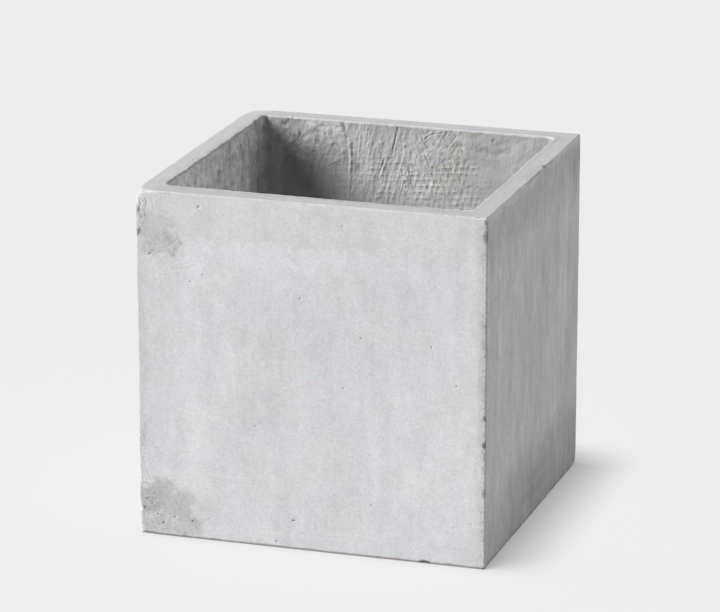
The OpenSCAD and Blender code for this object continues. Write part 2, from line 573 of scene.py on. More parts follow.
def mouldFaceCement():
    material, tree, shader, spots = newMaterial("mouldFaceCement")
    shades = mouldFinish["shades"]
    relief = addNode(tree, "Attribute", attribute_name="relief").outputs["Fac"]
    x, y, z = axesOf(tree, spots)
    right = levels(tree, x, *mouldFinish["rightFace"])
    ragged = sums(tree, "SUBTRACT", grain(tree, spots, 13, 5, 11, 0.4, 0.65), 0.5)

    # cloudy mortar, upright streaks that are stronger on the right face, and the flow marks there
    shade = mottled(tree, spots, 1.0, mouldFinish["mottling"])
    streaks = sums(tree, "SUBTRACT", grain(tree, spots, (5, 5, 75), 3, 3, 0.5), 0.5)
    streaks = sums(tree, "MULTIPLY", streaks, levels(tree, right, 0, 1, 1, 4))
    shade = shaded(tree, shade, streaks, shades["streaks"])
    flow = mottled(tree, spots, 1.0, mouldFinish["flow"])
    shade = sums(tree, "MULTIPLY", shade, levels(tree, right, 0, 1, 1.0, flow))
    # painted shade: the whole right face is darker, as the side turned from the key light
    shade = shaded(tree, shade, right, shades["right"])

    # the band is strongest over the middle of the front and on the right face
    band = bandUnderRim(tree, spots, ragged, right, z)
    middle = sums(tree, "MULTIPLY", levels(tree, x, -118, -88), levels(tree, x, 100, 60))
    strong = sums(tree, "MAXIMUM", levels(tree, middle, 0, 1, 0.35, 1), right)
    shade = shaded(tree, shade, sums(tree, "MULTIPLY", band, strong), shades["band"])
    shade = shaded(tree, shade, sums(tree, "MULTIPLY", band, right), shades["bandRight"])

    # painted shade: the right face is darker towards its foot, except near its front end
    darkerLow = levels(tree, sums(tree, "MULTIPLY_ADD", ragged, 30.0, z), 75, 38)
    darkerLow = sums(tree, "MULTIPLY", darkerLow, levels(tree, sums(tree, "MULTIPLY_ADD", ragged, 20.0, y), -98, -62))
    shade = shaded(tree, shade, sums(tree, "MULTIPLY", darkerLow, right), shades["darkerLow"])

    # stains and the painted shade in the chips don't add up where they meet, and their edges are ragged
    jagged = sums(tree, "MULTIPLY", ragged, 2.0)
    patchy = levels(tree, grain(tree, spots, 4, 5, 17, 0.8, 0.7), 0.3, 0.62, 0.62, 1.15)
    worst = 0.0
    for place, size, edge, amount in mouldFinish["stainsAndShade"]:
        mask = sums(tree, "MULTIPLY", nearPlace(tree, spots, place, size, edge, jagged), amount)
        worst = sums(tree, "MAXIMUM", mask, worst)
    shade = shaded(tree, shade, sums(tree, "MULTIPLY", worst, patchy), -1.0)
    for place, size, edge, amount in mouldFinish["bloomsAndLight"]:
        mask = nearPlace(tree, spots, place, size, edge, jagged)
        shade = shaded(tree, shade, sums(tree, "MULTIPLY", mask, patchy), amount)
    shade = openSkin(tree, spots, shade, jagged)
    # painted shade in the modelled pits and scratches, read from the relief
    shade = shaded(tree, shade, levels(tree, relief, -0.45, -1.0), shades["pits"])

    # a few dark sand grains, and painted shade for pinholes too small to model
    specks = levels(tree, grain(tree, spots, 1.1, 1, 21), 0.73, 0.80)
    rare = levels(tree, grain(tree, spots, 16, 2, 22), 0.52, 0.64)
    shade = shaded(tree, shade, sums(tree, "MULTIPLY", specks, rare), shades["specks"])

    # dark specks along the worn upright arris in front on the right, and a painted contact shadow along the
    # foot
    flank = sums(tree, "MULTIPLY", levels(tree, x, 143.0, 149.5), levels(tree, y, -139.0, -143.5))
    arrisSpecks = levels(tree, grain(tree, spots, (1.8, 1.8, 2.6), 4, 25, 0.4, 0.7), 0.50, 0.60)
    shade = shaded(tree, shade, sums(tree, "MULTIPLY", flank, arrisSpecks), shades["arrisSpecks"])
    foot = sums(tree, "MULTIPLY_ADD", grain(tree, spots, 9, 3, 26), 2.2, z)
    shade = shaded(tree, shade, levels(tree, foot, 3.6, 2.2), shades["foot"])

    warmth = sums(tree, "MULTIPLY", levels(tree, grain(tree, spots, 55, 3, 31), 0.42, 0.66), 0.25)
    for other in (sums(tree, "MULTIPLY", band, 0.35), sums(tree, "MULTIPLY", worst, 3.0), right):
        warmth = sums(tree, "MAXIMUM", warmth, other)
    paintCement(tree, shader, shade, warmth, mouldFinish["cool"], mouldFinish["warm"])
    dull(tree, shader, grain(tree, spots, 25, 3, 41), mouldFinish["shine"])
    height = sums(tree, "MULTIPLY_ADD", grain(tree, spots, 0.8, 3, 51), 0.6, grain(tree, spots, 4, 3, 52))
    roughen(tree, shader, height, mouldFinish["bump"])
    return material


# the finish of the brushed inside

brushedFinish = {
    "cool": (0.545, 0.550, 0.556),
    "warm": (0.560, 0.556, 0.545),
    "hollows": 0.78,  # painted shade in the deepest hollows
    "ridges": 1.10,  # painted light on the highest ridges
    "shine": (0.84, 0.97),
    "bump": 0.45,
    "mottling": [
        ((9, 9, 70), 3, 2, 0.4, 0.55, 0.12),
        ((16, 16, 24), 4, 3, 0.5, 0.55, 0.20),
        ((2.4, 2.4, 7), 4, 4, 0.5, 0.65, 0.17),
        (1.1, 2, 5, 0.0, 0.55, 0.14),
    ],
    "limeAndHighlight": 0.19,
    "darkerLow": -0.12,
    "stainsAndShade": [
        # painted shadow over the back left corner, where the left wall shades the back wall, and painted
        # shade on the far end of the left wall
        ((-118, 127, 250), (42, 32, 60), 1.1, -0.38),
        ((-75, 127, 256), (24, 20, 34), 1.2, -0.26),
        ((-132, 90, 270), (14, 60, 75), 1.2, -0.24),
        ((-132, 80, 246), (14, 20, 34), 1.0, -0.20),
        ((-132, -35, 280), (14, 90, 30), 1.2, -0.10),
        ((95, 127, 285), (60, 20, 40), 1.2, -0.08),
    ],
    "bloomsAndLight": [
        # painted light on the near end of the left wall
        ((-132, -105, 270), (14, 75, 75), 1.2, 0.14),
        ((-131, 128, 255), (14, 12, 70), 1.0, 0.60),
        # painted light on the lumps near the rim at the back left
        ((-86, 127, 288), (24, 20, 12), 1.2, 0.36),
        ((-5, 127, 262), (60, 20, 30), 1.2, 0.12),
    ],
}


def brushedCement():
    material, tree, shader, spots = newMaterial("brushedCement")
    relief = addNode(tree, "Attribute", attribute_name="relief").outputs["Fac"]
    z = axesOf(tree, spots)[2]
    # painted shade in the hollows and painted light on the ridges, read from the relief
    shade = levels(tree, relief, -0.9, 0.9, brushedFinish["hollows"], brushedFinish["ridges"])
    shade = mottled(tree, spots, shade, brushedFinish["mottling"])
    # white lime on some of the ridges, and darker towards the floor
    limed = levels(tree, grain(tree, spots, 12, 3, 6), 0.5, 0.6)
    limed = sums(tree, "MULTIPLY", levels(tree, relief, 0.3, 1.0), limed)
    shade = shaded(tree, shade, limed, brushedFinish["limeAndHighlight"])
    # stains and lighter patches, among them the painted shadow and painted light marked in the lists above
    for place, size, edge, amount in brushedFinish["stainsAndShade"] + brushedFinish["bloomsAndLight"]:
        shade = shaded(tree, shade, nearPlace(tree, spots, place, size, edge), amount)
    darkerLow = levels(tree, sums(tree, "MULTIPLY_ADD", grain(tree, spots, 40, 3, 7), 60.0, z), 130, 30)
    shade = shaded(tree, shade, darkerLow, brushedFinish["darkerLow"])
    warmth = levels(tree, grain(tree, spots, 45, 3, 8), 0.4, 0.65)
    paintCement(tree, shader, shade, warmth, brushedFinish["cool"], brushedFinish["warm"])
    dull(tree, shader, grain(tree, spots, 6, 3, 9), brushedFinish["shine"])
    bristles = grain(tree, spots, (1.4, 1.4, 5), 3, 11, 0.5)
    height = sums(tree, "MULTIPLY_ADD", grain(tree, spots, 0.7, 3, 10), 0.5, bristles)
    roughen(tree, shader, height, brushedFinish["bump"])
    return material


# the finish of the struck-off rim

rimFinish = {
    "cool": (0.540, 0.542, 0.546),
    "warm": (0.553, 0.549, 0.542),
    "shine": (0.78, 0.93),
    "bump": 0.25,
    "mottling": [(24, 4, 1, 0.0, 0.55, 0.08), (3.5, 4, 2, 0.4, 0.68, 0.16), (1.1, 2, 3, 0.0, 0.55, 0.12)],
    "drag": [((1.8, 26, 1), 3, 9, 0.3, 0.55, 0.10)],  # across and along a side of the rim
    # how much lighter the painted highlight along both arrises is
    "limeAndHighlight": 0.12,
    "hollow": -0.07,
    "pits": -0.45,
    "stainsAndShade": [  # place, size, softness, how much lighter
        ((107, -137, 298), (8, 8, 6), 0.8, -0.05),
        ((112, -127, 298), (20, 3.0, 4), 0.6, 0.26),
        ((145, 12, 298), (5, 22, 5), 0.8, -0.07),
        ((-141, 0, 298), (12, 190, 8), 0.5, 0.10),
        ((-30, 136, 298), (150, 14, 8), 0.9, 0.05),
        ((20, -139, 298), (60, 5, 5), 0.9, 0.03),
        ((132, 118, 298), (14, 14, 5), 0.6, -0.05),
    ],
}


def rimCement():
    material, tree, shader, spots = newMaterial("rimCement")
    relief = addNode(tree, "Attribute", attribute_name="relief").outputs["Fac"]
    shade = mottled(tree, spots, 1.0, rimFinish["mottling"])
    # painted shade in the pits and in the open joints under the skim, read from the relief
    shade = shaded(tree, shade, levels(tree, relief, -0.22, -0.55), rimFinish["pits"])
    # drag marks along each side, a painted highlight along both arrises, and a duller hollow between them
    x, y = axesOf(tree, spots)[:2]
    overX = sums(tree, "SUBTRACT", sums(tree, "ABSOLUTE", x), sizes["cavityHalf"][0])
    overY = sums(tree, "SUBTRACT", sums(tree, "ABSOLUTE", y), sizes["cavityHalf"][1])
    across = sums(tree, "MAXIMUM", overX, overY)
    along = sums(tree, "ADD", x, y)
    dragged = addNode(tree, "CombineXYZ", {0: across, 1: along, 2: 0.0}).outputs[0]
    shade = mottled(tree, dragged, shade, rimFinish["drag"])
    inset = sums(tree, "SUBTRACT", across, 0.8)
    wander = sums(tree, "MULTIPLY_ADD", grain(tree, spots, 7, 4, 10, 0.3, 0.7), 4.0, inset)
    limeAndHighlight = sums(tree, "MAXIMUM", levels(tree, wander, 3.0, 1.6), levels(tree, wander, 17.6, 18.8))
    shade = shaded(tree, shade, limeAndHighlight, rimFinish["limeAndHighlight"])
    hollow = sums(tree, "MULTIPLY", levels(tree, wander, 1.8, 4.0), levels(tree, wander, 8.0, 5.0))
    shade = shaded(tree, shade, hollow, rimFinish["hollow"])
    for place, size, edge, amount in rimFinish["stainsAndShade"]:
        shade = shaded(tree, shade, nearPlace(tree, spots, place, size, edge), amount)
    warmth = levels(tree, grain(tree, spots, 35, 3, 5), 0.35, 0.6)
    paintCement(tree, shader, shade, warmth, rimFinish["cool"], rimFinish["warm"])
    dull(tree, shader, grain(tree, spots, 9, 3, 6), rimFinish["shine"])
    height = sums(tree, "MULTIPLY_ADD", grain(tree, spots, 0.7, 3, 7), 0.5, grain(tree, spots, 3, 3, 8))
    roughen(tree, shader, height, rimFinish["bump"])
    return material


def glassYarn():
    material, tree, shader, spots = newMaterial("glassYarn")
    fibres = grain(tree, spots, (0.12, 0.12, 0.12), 2, 1)
    shade = mottle(tree, 1.0, grain(tree, spots, 6, 3, 2), 0.12)
    shade = mottle(tree, shade, fibres, 0.15)
    dust = levels(tree, grain(tree, spots, 9, 4, 3), 0.45, 0.65)
    paintCement(tree, shader, shade, dust, (0.84, 0.86, 0.78), (0.62, 0.62, 0.60))
    shader.inputs["Sheen Weight"].default_value = 0.15
    tree.links.new(levels(tree, dust, 0, 1, 0.42, 0.8), shader.inputs["Roughness"])
    roughen(tree, shader, fibres, 0.08)
    return material


def mouldedRubber():
    material, tree, shader, spots = newMaterial("mouldedRubber")
    shade = mottle(tree, 1.0, grain(tree, spots, 7, 3, 1), 0.25)
    dust = sums(tree, "MULTIPLY", levels(tree, grain(tree, spots, 5, 4, 2, 0.5, 0.65), 0.45, 0.70), 0.5)
    paintCement(tree, shader, shade, dust, (0.030, 0.030, 0.033), (0.16, 0.16, 0.155))
    tree.links.new(levels(tree, dust, 0, 0.5, 0.48, 0.85), shader.inputs["Roughness"])
    roughen(tree, shader, grain(tree, spots, 0.35, 2, 3), 0.05)
    return material


mouldFace = mouldFaceCement()
brushedFace = brushedCement()
rimFace = rimCement()
yarn = glassYarn()
rubber = mouldedRubber()
print("finishes are mixed")


# wear along the outside edges

edgeWear = {
    "radius": 1.1,
    "uneven": 0.55,
    "worn": [  # place, extra radius, reach along the edges
        ((-150, -145, 298), 4.6, 13),
        ((-150, 145, 298), 6.0, 16),
        ((-150, -145, 0), 4.0, 12),
        ((150, 145, 0), 2.5, 9),
        ((150, -145, 298), 1.0, 10),
        ((-150, -145, 262), 0.8, 22),
        ((-150, -145, 150), 0.6, 60),
    ],
}

chips = [  # a place on the outside, the way it broke off, its depth and its reach
    ((-150, -145, 289), (-1, -1, 0.3), 1.3, 7),
    ((-150, -145, 276), (-1, -1, 0), 0.9, 6),
    ((-150, -145, 262), (-1, -0.8, 0), 0.9, 5),
    ((-150, -145, 52), (-1, -1, 0), 1.1, 9),
    ((-150, -145, 24), (-1, -1, 0), 1.4, 7),
    ((150, -145, 293), (1, -1, 0.4), 1.4, 4.5),
    ((150, -145, 281), (1, -1, 0), 0.8, 4),
    ((150, -145, 262), (1, -1, 0), 0.5, 4),
    ((150, -145, 130), (1, -1, 0), 0.9, 3),
    ((150, -145, 107), (1, -1, 0), 0.8, 3.5),
    ((150, -145, 66), (1, -1, 0), 0.5, 4),
    ((150, -145, 1), (1, -1, -0.8), 1.5, 5),
    ((99, -145, 0), (0, -1, -1), 1.6, 5),
    ((-84, -145, 0), (0, -1, -1), 0.9, 4),
    ((42, -145, 0), (0, -1, -1), 0.5, 6),
    ((28, -145, 298), (0, -1, 1), 0.7, 3),
    ((87, -145, 298), (0, -1, 1), 0.8, 3.5),
    ((150, 145, 4), (1, 1, -0.6), 2.0, 6),
    ((150, 60, 0), (1, 0, -1), 0.9, 6),
    ((150, -30, 0), (1, 0, -1), 0.7, 5),
    ((150, 145, 296), (1, 1, 1), 1.2, 4),
    ((-150, 40, 298), (-1, 0, 1), 1.0, 5),
    ((-150, -60, 0), (-1, 0, -1), 1.2, 6),
    ((-40, 145, 298), (0, 1, 1), 0.9, 4),
    ((70, 145, 0), (0, 1, -1), 1.3, 6),
    ((-150, 145, 120), (-1, 1, 0), 1.2, 6),
    ((-150, 145, 210), (-1, 1, 0), 0.8, 5),
]


def addSmallChips(count, seed):
    # little breaks all along the twelve edges
    luck = random.Random(seed)
    size = (halfWidth, halfDepth, rimTop / 2)
    for _ in range(count):
        run = luck.randrange(3)
        place, broken = [0, 0, 0], [0, 0, 0]
        for axis in range(3):
            side = luck.choice((-1, 1))
            place[axis] = luck.uniform(-size[axis], size[axis]) if axis == run else side * size[axis]
            broken[axis] = luck.uniform(-0.4, 0.4) if axis == run else side * luck.uniform(0.5, 1)
        place[2] += size[2]
        depth = luck.uniform(0.25, 0.75)
        chips.append((tuple(place), tuple(broken), depth, depth * luck.uniform(2.5, 7)))


addSmallChips(90, 12)


def wearOutside(points):
    radius = edgeWear["radius"] + edgeWear["uneven"] * clouds(points, 16, 3) + 0.3 * clouds(points, 4.5, 4)
    for place, extra, reach in edgeWear["worn"]:
        radius += extra * bell(np.linalg.norm(points - place, axis=1), reach)
    radius = np.clip(radius, 0.45, None)[:, None]
    low = np.array([-halfWidth, -halfDepth, 0.0])
    high = np.array([halfWidth, halfDepth, rimTop])
    worn, way = roundedPlace(points, low, high, radius)
    for place, broken, depth, reach in chips:
        gap = np.linalg.norm(worn - place, axis=1)
        near = gap < reach * 1.6
        if not near.any():
            continue
        broken = np.array(broken) / np.linalg.norm(broken)
        jagged = clouds(worn[near], reach * 0.45, 7, 3)
        past = (worn[near] - place) @ broken + depth * (1 - (gap[near] / reach) ** 2 * (1 + 0.5 * jagged))
        past += 0.25 * depth * jagged
        worn[near] -= np.outer(np.clip(past, 0, None), broken)
    return worn


# pinholes, pits and scratches in the mould faces

faceMarks = {
    # across the face, height, radius, depth
    "front": [
        (-95, 287, 1.6, 0.7), (-138, 244, 0.9, 1.3), (-103, 223, 0.8, 0.8), (-92, 230, 0.8, 0.8),
        (-15, 225, 0.5, 0.6), (-11, 222, 0.6, 0.6), (-17, 220, 0.5, 0.6), (-8, 217, 0.9, 0.8),
        (-12, 216, 0.5, 0.6), (-17, 218, 0.5, 0.5), (-14, 222, 0.5, 0.5), (44, 188, 0.8, 0.9),
        (104, 186, 0.8, 0.9), (125, 155, 0.8, 1.0), (29, 144, 0.8, 0.9), (14, 153, 0.6, 0.6),
        (126, 142, 0.5, 0.5), (-47, 104, 0.7, 0.7), (-15, 25, 0.9, 1.5), (-13.6, 25, 0.8, 1.2),
        (53, 46, 0.7, 0.7), (138, 38, 0.7, 0.7), (28, 281, 0.7, 0.8), (-80, 132, 0.5, 0.5),
        (-129, 11, 1.2, 1.0), (-119, 17, 1.3, 0.8), (-134, 18, 1.0, 0.8), (-145, 23, 1.6, 1.0),
        (-103, 15, 1.3, 0.8), (-143, 31, 0.9, 0.9), (-139, 27, 0.8, 0.8), (-137, 36, 0.6, 0.7),
        (-29, 5, 1.1, 0.7), (108, 290, 0.5, 0.6), (-56, 251, 0.7, 0.4),
    ],
    "right": [
        (97, 5, 1.6, 1.2), (-60, 214, 0.7, 0.7), (24, 98, 0.8, 0.8), (70, 160, 0.6, 0.6),
        (-118, 84, 0.7, 0.7),
    ],
    "random": 26,  # on each of the two faces at the back
}

scratches = [  # a route across a face, the width and the depth; below 0 it stands proud
    ("front", [(-17, 253), (-14, 250), (-10, 247), (-5, 246.5)], 0.8, 0.5),
    ("front", [(65, 269.5), (67, 266.5), (70, 263.5)], 0.7, 0.4),
    ("front", [(89, 114.5), (93, 116), (97, 118.5)], 0.7, -0.3),
    ("front", [(-134, 229), (-124, 230), (-112, 233), (-96, 237)], 0.8, 0.25),
    ("front", [(-95, 50), (-72, 51.5), (-47, 53)], 0.8, 0.22),
    ("front", [(120, 33), (128, 33.6)], 0.6, 0.4),
    ("front", [(72, 78), (76, 78.3)], 0.6, 0.3),
    ("front", [(-149.5, 80), (-147, 68), (-143, 56), (-138, 46)], 0.6, 0.3),
    ("front", [(-147.5, 38), (-146.5, 44), (-147.5, 52)], 0.5, 0.3),
    ("front", [(-98, 12), (-92, 16), (-85, 21)], 0.8, 0.3),
    ("front", [(-141, 291), (-140, 286), (-142.5, 281), (-140.5, 276)], 0.7, 0.6),
    ("front", [(-148, 291), (-145.5, 286), (-147, 280), (-144.5, 274)], 0.9, 0.9),
    ("front", [(-146, 285), (-143.5, 288), (-140, 287)], 0.6, 0.5),
    ("front", [(-149, 269), (-146, 265), (-148, 259)], 0.9, 0.9),
    ("front", [(-136, 289), (-134, 285), (-135, 281)], 0.6, 0.35),
    ("front", [(-128, 249), (-120, 252), (-113, 259), (-113, 266)], 1.2, 0.25),
    ("right", [(-132, 285), (-128, 240), (-127, 200)], 0.7, 0.25),
    ("right", [(-70, 180), (-68, 120), (-69, 96)], 0.8, 0.2),
    ("right", [(40, 230), (42, 170)], 0.7, 0.2),
    ("left", [(-40, 90), (-10, 96), (22, 99)], 0.8, 0.3),
    ("back", [(-60, 200), (-40, 190), (-15, 187)], 0.8, 0.3),
]


def onFace(face, across, height):
    return {
        "front": (across, -halfDepth, height),
        "back": (across, halfDepth, height),
        "right": (halfWidth, across, height),
        "left": (-halfWidth, across, height),
        "under": (across, height, 0),
    }[face]


def allMarks():
    # every mark as a route in space with its width and depth
    marks = []
    for face in ("front", "right"):
        for across, height, radius, depth in faceMarks[face]:
            marks.append(([onFace(face, across, height)], radius, depth))
    luck = random.Random(7)
    for face in ("left", "back", "under"):
        for _ in range(faceMarks["random"]):
            reach = halfDepth - 14
            across = luck.uniform(-reach, reach)
            height = luck.uniform(-reach, reach) if face == "under" else luck.uniform(8, rimTop - 14)
            radius = luck.uniform(0.5, 1.5)
            marks.append(([onFace(face, across, height)], radius, radius * luck.uniform(0.6, 1.1)))
    for face, route, width, depth in scratches:
        marks.append(([onFace(face, *spot) for spot in route], width, depth))
    return marks


# the coat that was laid against the mould

outerSettings = {
    "step": 4.2,
    "markStep": 0.4,  # size of the mesh in a pit or a scratch
    "edgeStep": 0.9,  # size of the mesh where an edge is chipped
    "sag": 0.28,  # how far the faces wander inwards
    "hidden": 0.12,  # how far the hidden joints with the other coats are eased apart
}


def outerRings():
    unit = unitRing(sizes["half"], outerSettings["step"])
    top, lining, hidden = sizes["coatsTop"], sizes["liningHalf"], outerSettings["hidden"]
    drain = sizes["drain"]
    drainArris = [(drain + 0.1, 1.6), (drain + 0.3, 0.8), (drain + 0.8, 0.25), (drain + 1.6, 0)]
    rings = [roundRing(unit, radius, z) for radius, z in drainArris]
    inwards = np.array(cornerMarks)[::-1] / halfDepth
    shares = np.concatenate([np.linspace(0.06, 1 - inwards[0], 24), 1 - inwards[1:], [1]])
    rings += between(rings[-1], squareRing(unit, sizes["half"], 0), shares)
    nearTop = [top - 4, top - 2, top - 0.8, top]
    climb = np.concatenate([cornerMarks, stepsTo(cornerMarks[-1], top - 6, 4.2), nearTop])
    rings += [squareRing(unit, sizes["half"], z) for z in climb]
    rings += between(rings[-1], squareRing(unit, lining + hidden, top - hidden), (0.1, 0.5, 1))
    down = [top - 30, 200, 120, 60, sizes["liningFloor"] - hidden]
    rings += [squareRing(unit, lining + hidden, z) for z in down]
    hole = roundRing(unit, drain, sizes["liningFloor"] - hidden)
    rings += between(rings[-1], hole, (0.3, 0.6, 0.9, 1))
    rings += [roundRing(unit, drain, z) for z in (14, 9, 4)]
    return rings


def outside(points):
    # 1 on the six outer faces and 0 on the hidden ones
    gap = np.minimum(sizes["half"] - np.abs(points[:, :2]), 50).min(axis=1)
    gap = np.minimum(gap, points[:, 2])
    away = np.linalg.norm(points[:, :2], axis=1)
    return (gap < 0.05) & ~((points[:, 2] < 5) & (away < sizes["drain"] + 2.0))


def makeOuterCoat():
    bm = loftMesh(outerRings())
    marks = allMarks()

    def wanted(points):
        size = np.full(len(points), 99.0)
        for route, width, depth in marks:
            gap = fromRoute(points, np.array(route, float))
            size = np.minimum(size, sizeNear(gap, outerSettings["markStep"], 0.55, abs(width) * 1.3))
        for place, broken, depth, reach in chips:
            gap = np.linalg.norm(points - place, axis=1)
            size = np.minimum(size, sizeNear(gap, outerSettings["edgeStep"] * (0.5 + depth / 4), 0.5, reach))
        for place, extra, reach in edgeWear["worn"][:2]:
            gap = np.linalg.norm(points - place, axis=1)
            size = np.minimum(size, sizeNear(gap, 1.2, 0.4, reach))
        return np.where(outside(points), size, 99.0)

    refine(bm, wanted)
    flat = places(bm)
    shown = outside(flat)
    setPlaces(bm, wearOutside(flat))
    ways = np.array([vert.normal for vert in bm.verts])
    points = places(bm)

    # slow waves from the mould, and thin skins of mortar that have flaked off
    inwards = np.zeros(len(points))
    near = flat[shown]
    sag = outerSettings["sag"] * (0.5 + 0.5 * clouds(near, 60, 11, 2)) + 0.05 * clouds(near, 9, 12)
    edgeGap = (sizes["half"] - np.abs(near[:, :2])).max(axis=1)
    belowRim = fade(sizes["coatsTop"] - near[:, 2], 0, 8)
    inwards[shown] = np.clip(sag, 0, None) * fade(edgeGap, 0, 6) * belowRim
    for route, width, depth in marks:
        gap = fromRoute(flat, route)
        close = shown & (gap < abs(width) * 2)
        if len(route) == 1:
            shape = 1 - fade(gap[close], width * 0.35, width * 1.15)
        else:
            # a scratch is uneven along its length
            shape = (1 - fade(gap[close], 0, width)) * (0.75 + 0.5 * clouds(flat[close], 3, 13))
        inwards[close] += depth * shape
    points -= ways * inwards[:, None]
    points = np.clip(points, (-halfWidth, -halfDepth, 0), (halfWidth, halfDepth, rimTop))
    setPlaces(bm, points)
    return finishCoat(bm, "outerCoat", mouldFace, ["outer_coat"], -inwards)


makeOuterCoat()


# the inside: where its surface lies, before and after brushing

cavity = {
    "corners": {"frontLeft": 10.0, "frontRight": 11.0, "backRight": 9.0, "backLeft": 3.5},
    "foot": 9.0,  # radius of the cove between walls and floor
    "deepest": -1.1,
    "proudest": 3.6,
    "swell": 2.6,  # how much thicker the front wall is at its left end, towards the rim
}


def cavityRadius(points):
    # the radius of the upright corners, which grows into the cove at the foot
    right = fade(points[:, 0], -60, 60)
    back = fade(points[:, 1], -60, 60)
    corners = cavity["corners"]
    front = corners["frontLeft"] + (corners["frontRight"] - corners["frontLeft"]) * right
    rear = corners["backLeft"] + (corners["backRight"] - corners["backLeft"]) * right
    radius = front + (rear - front) * back
    radius = radius * (1 + 0.22 * clouds(points, (30, 30, 14), 71))
    foot = 1 - fade(points[:, 2], sizes["floor"] + 12, sizes["floor"] + 45)
    return (radius + (cavity["foot"] - radius) * foot)[:, None]


def cavityPlace(points):
    half = sizes["cavityHalf"]
    low = np.array([-half[0], -half[1], sizes["floor"]])
    high = np.array([half[0], half[1], 1000.0])
    placed, out = roundedPlace(points, low, high, cavityRadius(points))
    return placed, -out


def strokes(u, v, lean, length, width, seed, octaves=1):
    # brush strokes that lean to the right of upright by `lean` degrees, around zero
    turn = math.radians(lean)
    along = u * math.sin(turn) + v * math.cos(turn)
    across = u * math.cos(turn) - v * math.sin(turn)
    return clouds(np.column_stack([across, along, 0 * u]), (width, length, 1), seed, octaves)


def within(u, v, low, high, soft):
    # 1 inside a rectangle, with soft edges
    sides = fade(u, low[0] - soft, low[0]) * (1 - fade(u, high[0], high[0] + soft))
    return sides * fade(v, low[1] - soft, low[1]) * (1 - fade(v, high[1], high[1] + soft))


def onPlane(u, v):
    return np.column_stack([u, v])


backWall = {
    "grooves": [  # route, width, depth, and the height of the ridge pushed up beside it
        ([(-60, 298), (-58, 292), (-55, 286), (-54, 281)], 2.2, 1.2, 0.5),
        ([(-56, 290), (-53, 280), (-52, 268), (-52.5, 256), (-53, 245), (-54, 226)], 1.3, -1.0, -0.35),
        ([(-8, 298), (-10.5, 290), (-12, 283), (-15, 267)], 0.9, 0.9, 0.35),
        ([(-21, 268), (-24, 258), (-26.5, 250), (-28, 246)], 0.9, 0.8, 0.5),
        ([(-35, 297), (-37, 284), (-40, 266)], 0.8, 0.35, 0.3),
        ([(-44, 294), (-45, 280), (-47, 262)], 0.8, 0.3, 0.3),
        ([(-73, 255), (-68, 259), (-61, 260.5)], 0.7, 0.3, 0.3),
        ([(-6, 260), (-3, 249), (0, 238)], 0.7, 0.6, 0.45),
        ([(0, 262), (3, 250), (7, 236)], 0.7, 0.6, 0.45),
        ([(7, 290), (11, 284), (16, 277)], 0.8, 0.7, 0.3),
        ([(11, 292), (14, 285), (19, 279)], 0.7, 0.6, 0.3),
        ([(14, 286), (20, 291), (26, 293), (33, 294)], 0.7, 0.45, 0.4),
        ([(14, 276), (20, 262), (25, 248)], 0.7, 0.5, 0.35),
        ([(22, 277), (27, 266), (31, 254)], 0.7, 0.45, 0.35),
        ([(31, 276), (36, 262), (40, 250)], 0.7, 0.4, 0.3),
        ([(-100, 287), (-98, 283), (-101, 279)], 1.0, 0.5, 0.3),
        ([(62, 281), (80, 279), (95, 282)], 3.4, 0.55, 0.15),
        ([(60, 244), (66, 250), (68, 260)], 0.9, 0.12, 0.15),
    ],
    "spots": [  # across, height, radius, height of the lump; below 0 it is a pit
        (-112, 291, 1.6, -1.0), (-98, 284, 1.5, -0.8), (-75, 285, 1.2, -0.8), (-107, 276, 3.5, 0.8),
        (-90, 280, 4.0, 0.7), (-82, 272, 3.0, 0.7), (-86, 291, 3.5, 0.8), (-70, 277, 2.2, 0.6),
        (-66, 262, 3.0, 0.6), (-44, 256, 3.0, -0.9), (-31, 255, 1.6, -0.7), (-16, 267, 1.1, -0.9),
        (-26, 247, 1.2, -0.8), (13, 256, 1.2, -0.9), (23, 262, 1.0, -0.8), (36, 282, 1.3, -0.8),
        (48, 284, 2.4, -0.9), (52, 287, 4.5, 0.7), (77, 290, 1.0, -1.0), (56, 247, 1.2, -0.7),
        (33, 268, 1.4, -0.6), (100, 284, 6.0, 0.6), (88, 273, 9.0, 0.5), (112, 290, 5.0, 0.5),
        (-24, 281, 1.3, 0.7), (-34, 272, 1.6, 0.6), (-3, 281, 1.5, 0.5), (-60, 269, 2.0, 0.6),
    ],
    "imprint": {"low": (-66, 226), "high": (62, 264), "pitch": 5.3, "rise": 5, "depth": 0.46},
}

leftWall = {
    "grooves": [
        ([(27, 294), (28, 289), (29, 283)], 2.0, 1.2, 0.4),
        ([(-52, 298), (-50, 284), (-51, 262)], 1.2, 0.5, 0.4),
        ([(12, 297), (10, 280), (12, 262)], 1.2, 0.5, 0.3),
        ([(84, 296), (86, 280), (84, 250)], 1.5, 0.6, 0.4),
        ([(-88, 292), (-84, 276), (-86, 258)], 1.2, 0.5, 0.3),
    ],
    "spots": [
        (66, 284, 1.6, -1.0), (55, 277, 3.2, 0.9), (-4, 277, 4.0, 0.9), (7, 274, 3.0, -0.7),
        (40, 285, 3.0, 0.7), (96, 280, 4.0, 0.8), (-30, 286, 2.2, 0.8), (-70, 280, 3.2, -0.6),
    ],
}


def alongRoute(points, route):
    # 0 at the start of a route and 1 at its end
    start, end = np.array(route[0], float), np.array(route[-1], float)
    way = end - start
    return np.clip((points - start) @ way / (way @ way), 0, 1)


